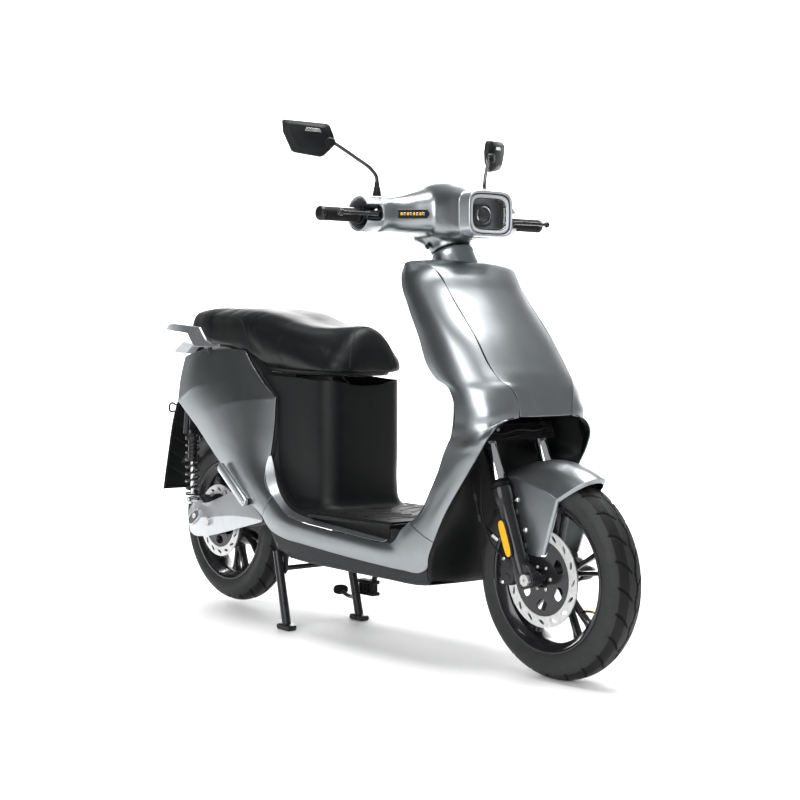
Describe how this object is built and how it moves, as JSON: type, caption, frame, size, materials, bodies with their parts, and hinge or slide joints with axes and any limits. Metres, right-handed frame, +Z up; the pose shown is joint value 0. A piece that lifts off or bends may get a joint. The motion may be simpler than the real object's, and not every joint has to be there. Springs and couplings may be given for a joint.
{
  "type": "moped scooter",
  "caption": "Step-through electric moped scooter on its centre stand, with a deep front shield, flat floor, long seat and grab rail.",
  "frame": {"origin": "on the ground, midway along the overall length, on the middle plane", "axes": "+X forwards, +Y the rider's left, +Z up"},
  "size_m": [1.8, 0.717, 1.283],
  "materials": {
    "body_paint": "satin metallic paint",
    "bright_trim": "satin silver",
    "dark_skirt": "matte",
    "black_plastic": "fine texture",
    "frame_steel": "gloss black",
    "bar_steel": "satin black",
    "chrome": "polished",
    "axle_steel": "zinc",
    "disc_steel": "ground",
    "rim_alloy": "black coated",
    "caliper_alloy": "black anodised",
    "tyre_rubber": "matte",
    "soft_rubber": "matte",
    "seat_leather": "grained",
    "clear_lens": "clear",
    "lamp_shell": "gloss",
    "amber": "prismatic",
    "shock_steel": "gloss black",
    "battery_case": "moulded",
    "controller_alloy": "cast"
  },
  "bodies": {
    "chassis": {"main_frame": "frame_steel", "front_shield": "body_paint", "side_fairings": "body_paint", "inner_leg_shield": "black_plastic", "front_tunnel": "black_plastic", "floor_deck": "black_plastic", "floor_mat": "soft_rubber", "belly_skirt": "dark_skirt", "seat_box": "black_plastic", "battery_pack": "battery_case", "motor_controller": "controller_alloy", "rear_panels": "body_paint", "grab_rail": "bright_trim", "rear_lights": "clear_lens", "rear_mudguard": "black_plastic"},
    "seat": {"seat_base": "black_plastic", "seat_cushion": "seat_leather"},
    "steering": {"fork_yoke": "frame_steel", "fork_stanchions": "chrome", "handlebar": "bar_steel", "headset_cover": "body_paint", "headlight_bezel": "bright_trim", "headlight_unit": "lamp_shell", "front_lamp_lenses": "clear_lens", "bar_shrouds": "bright_trim", "control_pods": "black_plastic", "left_grip": "soft_rubber", "dash_display": "lamp_shell"},
    "throttle": {"throttle_grip": "soft_rubber"},
    "brake_lever_right": {"brake_lever_right": "bar_steel"},
    "brake_lever_left": {"brake_lever_left": "bar_steel"},
    "turn_switch": {"turn_switch": "black_plastic"},
    "horn_button": {"horn_button": "black_plastic"},
    "mirror_stem_right": {"mirror_stem_right": "black_plastic"},
    "mirror_stem_left": {"mirror_stem_left": "black_plastic"},
    "mirror_head_right": {"mirror_head_right": "black_plastic"},
    "mirror_head_left": {"mirror_head_left": "black_plastic"},
    "fork_lower": {"fork_legs": "frame_steel", "front_axle": "axle_steel", "front_fender": "body_paint", "front_caliper": "caliper_alloy", "fork_reflectors": "amber", "brake_hose": "soft_rubber"},
    "front_wheel": {"front_tyre": "tyre_rubber", "front_rim": "rim_alloy", "front_disc": "disc_steel"},
    "swingarm": {"swingarm": "frame_steel", "swingarm_covers": "bright_trim", "rear_axle": "axle_steel", "rear_caliper": "caliper_alloy"},
    "rear_wheel": {"rear_tyre": "tyre_rubber", "rear_rim": "rim_alloy", "rear_disc": "disc_steel"},
    "shock_bodies": {"shock_bodies": "shock_steel"},
    "shock_rods": {"shock_rods": "chrome", "shock_springs": "shock_steel"},
    "center_stand": {"center_stand": "frame_steel"},
    "side_stand": {"side_stand": "frame_steel"},
    "footpeg_right": {"footpeg_right": "bright_trim"},
    "footpeg_left": {"footpeg_left": "bright_trim"}
  },
  "joints": [
    {"name": "steering_turn", "type": "hinge", "parent": "chassis", "child": "steering", "pos_m": [0.42782, 0, 0.69979], "axis": [-0.3584, 0, 0.9336], "range_deg": [-38, 38]},
    {"name": "fork_slide", "type": "slide", "parent": "steering", "child": "fork_lower", "axis": [-0.3584, 0, 0.9336], "range_m": [0, 0.06], "stiffness_N_per_m": 9000, "springref_m": -0.045},
    {"name": "front_wheel_spin", "type": "hinge", "parent": "fork_lower", "child": "front_wheel", "pos_m": [0.667, 0, 0.233], "axis": [0, 1, 0], "continuous": true},
    {"name": "throttle_turn", "type": "hinge", "parent": "steering", "child": "throttle", "pos_m": [0.237, -0.29, 1.057], "axis": [0, 1, 0], "range_deg": [0, 70], "stiffness_Nm_per_rad": 0.4, "springref_deg": -34.38},
    {"name": "brake_lever_right_pull", "type": "hinge", "parent": "steering", "child": "brake_lever_right", "pos_m": [0.275, -0.214, 1.057], "axis": [0, 0, -1], "range_deg": [0, 9], "stiffness_Nm_per_rad": 4, "springref_deg": -11.46},
    {"name": "brake_lever_left_pull", "type": "hinge", "parent": "steering", "child": "brake_lever_left", "pos_m": [0.275, 0.214, 1.057], "axis": [0, 0, 1], "range_deg": [0, 9], "stiffness_Nm_per_rad": 4, "springref_deg": -11.46},
    {"name": "turn_switch_slide", "type": "slide", "parent": "steering", "child": "turn_switch", "axis": [0, 1, 0], "range_m": [-0.003, 0.003], "stiffness_N_per_m": 200},
    {"name": "horn_button_press", "type": "slide", "parent": "steering", "child": "horn_button", "axis": [1, 0, 0], "range_m": [0, 0.002], "stiffness_N_per_m": 300},
    {"name": "mirror_stem_right_swivel", "type": "hinge", "parent": "steering", "child": "mirror_stem_right", "pos_m": [0.226, -0.172, 1.13], "axis": [0, 0, 1], "range_deg": [-30, 30]},
    {"name": "mirror_head_right_tilt", "type": "hinge", "parent": "mirror_stem_right", "child": "mirror_head_right", "pos_m": [0.155, -0.252, 1.236], "axis": [-0.5, -0.866, 0], "range_deg": [-12, 12]},
    {"name": "mirror_stem_left_swivel", "type": "hinge", "parent": "steering", "child": "mirror_stem_left", "pos_m": [0.226, 0.172, 1.13], "axis": [0, 0, 1], "range_deg": [-30, 30]},
    {"name": "mirror_head_left_tilt", "type": "hinge", "parent": "mirror_stem_left", "child": "mirror_head_left", "pos_m": [0.155, 0.252, 1.236], "axis": [-0.5, 0.866, 0], "range_deg": [-12, 12]},
    {"name": "swingarm_swing", "type": "hinge", "parent": "chassis", "child": "swingarm", "pos_m": [-0.318, 0, 0.285], "axis": [0, 1, 0], "range_deg": [0, 9], "stiffness_Nm_per_rad": 2600, "springref_deg": -3.44},
    {"name": "rear_wheel_spin", "type": "hinge", "parent": "swingarm", "child": "rear_wheel", "pos_m": [-0.633, 0, 0.251], "axis": [0, 1, 0], "continuous": true},
    {"name": "shock_swivel", "type": "hinge", "parent": "chassis", "child": "shock_bodies", "pos_m": [-0.683, 0, 0.505], "axis": [0, 1, 0], "range_deg": [-2.93, 0]},
    {"name": "shock_compress", "type": "slide", "parent": "shock_bodies", "child": "shock_rods", "axis": [0.0256, 0, 0.9997], "range_m": [0, 0.0581], "deforming": ["shock_springs"]},
    {"name": "center_stand_fold", "type": "hinge", "parent": "chassis", "child": "center_stand", "pos_m": [-0.268, 0, 0.198], "axis": [0, 1, 0], "range_deg": [0, 75]},
    {"name": "side_stand_swing", "type": "hinge", "parent": "chassis", "child": "side_stand", "pos_m": [-0.133, 0.145, 0.178], "axis": [0, -1, 0], "range_deg": [0, 100]},
    {"name": "footpeg_right_fold", "type": "hinge", "parent": "chassis", "child": "footpeg_right", "pos_m": [-0.333, -0.18, 0.333], "axis": [0.6042, 0, 0.7968], "range_deg": [0, 85]},
    {"name": "footpeg_left_fold", "type": "hinge", "parent": "chassis", "child": "footpeg_left", "pos_m": [-0.333, 0.18, 0.333], "axis": [-0.6042, 0, -0.7968], "range_deg": [0, 85]},
    {"name": "seat_lift", "type": "hinge", "parent": "chassis", "child": "seat", "pos_m": [-0.033, 0, 0.664], "axis": [0, 1, 0], "range_deg": [0, 60]}
  ],
  "couplings": [
    {"joint": "shock_swivel", "follows": "swingarm_swing", "ratio": -0.32373},
    {"joint": "shock_compress", "follows": "swingarm_swing", "m_per_rad": 0.36665}
  ]
}
